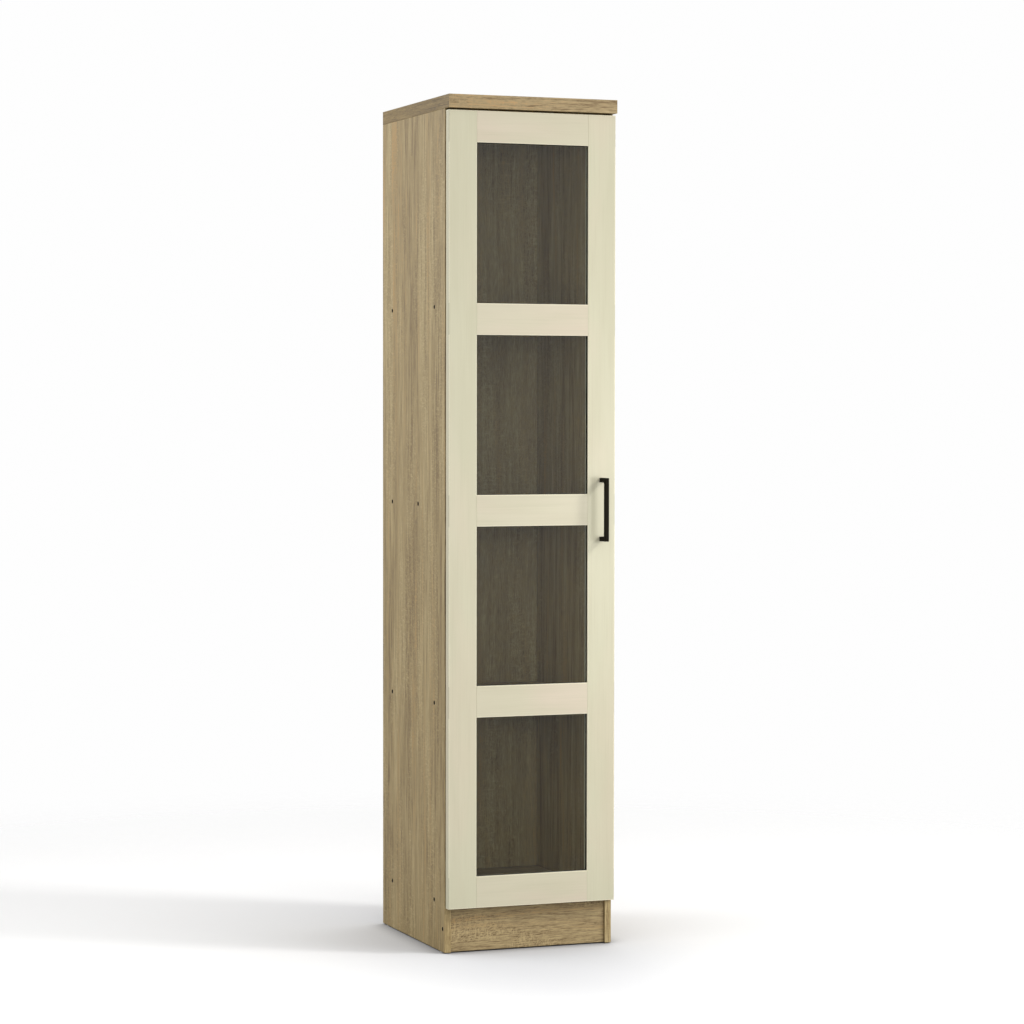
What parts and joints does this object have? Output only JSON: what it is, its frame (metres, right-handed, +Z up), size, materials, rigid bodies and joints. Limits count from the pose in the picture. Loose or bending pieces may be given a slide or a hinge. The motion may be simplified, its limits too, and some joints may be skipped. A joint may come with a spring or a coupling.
{
  "type": "utility cabinet",
  "caption": "Tall narrow cupboard with fixed shelves behind a hinged, glazed frame door, under a thick overhanging top, with a plinth and a black bar handle.",
  "frame": {"origin": "middle of the cabinet's whole footprint, the handle counted in, on the floor", "axes": "+Z up, +X to the right seen from the front, +Y towards the back; the door faces -Y"},
  "size_m": [0.4, 0.486, 1.9],
  "materials": {
    "oak_board": "oak-print melamine on particleboard, fine rough-sawn texture, satin",
    "oak_edge_band": "oak-print edge banding, satin",
    "oak_back_sheet": "oak-print thin fibreboard, satin",
    "cream_foil": "cream foil-wrapped fibreboard, satin",
    "smoked_glass": "smoked float glass, polished",
    "dark_gasket": "dark brown soft channel gasket, matt",
    "black_handle": "matt black powder coat",
    "dark_screws": "dark bronzed steel",
    "zinc_screws": "zinc-plated steel",
    "nickel_hinge": "nickel-plated steel and zinc casting",
    "zinc_fittings": "zinc die casting and steel",
    "beech_dowel": "plain beech",
    "glide_plastic": "brown moulded plastic",
    "clear_bumper": "soft clear pad"
  },
  "bodies": {
    "carcass": {"arm_screws": "zinc_screws", "back_nails": "zinc_screws", "back_panel": "oak_back_sheet", "bottom_panel": "oak_board", "cam_bolts": "zinc_fittings", "cam_locks": "zinc_fittings", "door_bumpers": "clear_bumper", "floor_glides": "glide_plastic", "hinge_arm_1": "nickel_hinge", "hinge_arm_2": "nickel_hinge", "hinge_arm_3": "nickel_hinge", "hinge_arm_4": "nickel_hinge", "hinge_pins": "nickel_hinge", "hinge_plate_1": "nickel_hinge", "hinge_plate_2": "nickel_hinge", "hinge_plate_3": "nickel_hinge", "hinge_plate_4": "nickel_hinge", "panel_screws": "dark_screws", "plate_screws": "zinc_screws", "plinth_board": "oak_board", "shelf_edge_bands": "oak_edge_band", "shelf_lower": "oak_board", "shelf_middle": "oak_board", "shelf_upper": "oak_board", "side_edge_band_left": "oak_edge_band", "side_edge_band_right": "oak_edge_band", "side_panel_left": "oak_board", "side_panel_right": "oak_board", "top_dowels": "beech_dowel", "top_edge_bands": "oak_edge_band", "top_panel": "oak_board"},
    "door": {"cup_screws": "zinc_screws", "door_rail_bottom": "cream_foil", "door_rail_lower": "cream_foil", "door_rail_middle": "cream_foil", "door_rail_top": "cream_foil", "door_rail_upper": "cream_foil", "door_stile_handle": "cream_foil", "door_stile_hinge": "cream_foil", "glass_gasket_1": "dark_gasket", "glass_gasket_2": "dark_gasket", "glass_gasket_3": "dark_gasket", "glass_gasket_4": "dark_gasket", "glass_pane_1": "smoked_glass", "glass_pane_2": "smoked_glass", "glass_pane_3": "smoked_glass", "glass_pane_4": "smoked_glass", "handle": "black_handle", "handle_screws": "zinc_screws", "hinge_cup_1": "nickel_hinge", "hinge_cup_2": "nickel_hinge", "hinge_cup_3": "nickel_hinge", "hinge_cup_4": "nickel_hinge"}
  },
  "joints": [
    {"name": "door_hinge", "type": "hinge", "parent": "carcass", "child": "door", "pos_m": [-0.1925, -0.197, 0.984], "axis": [0, 0, -1], "range_deg": [0, 110]}
  ]
}
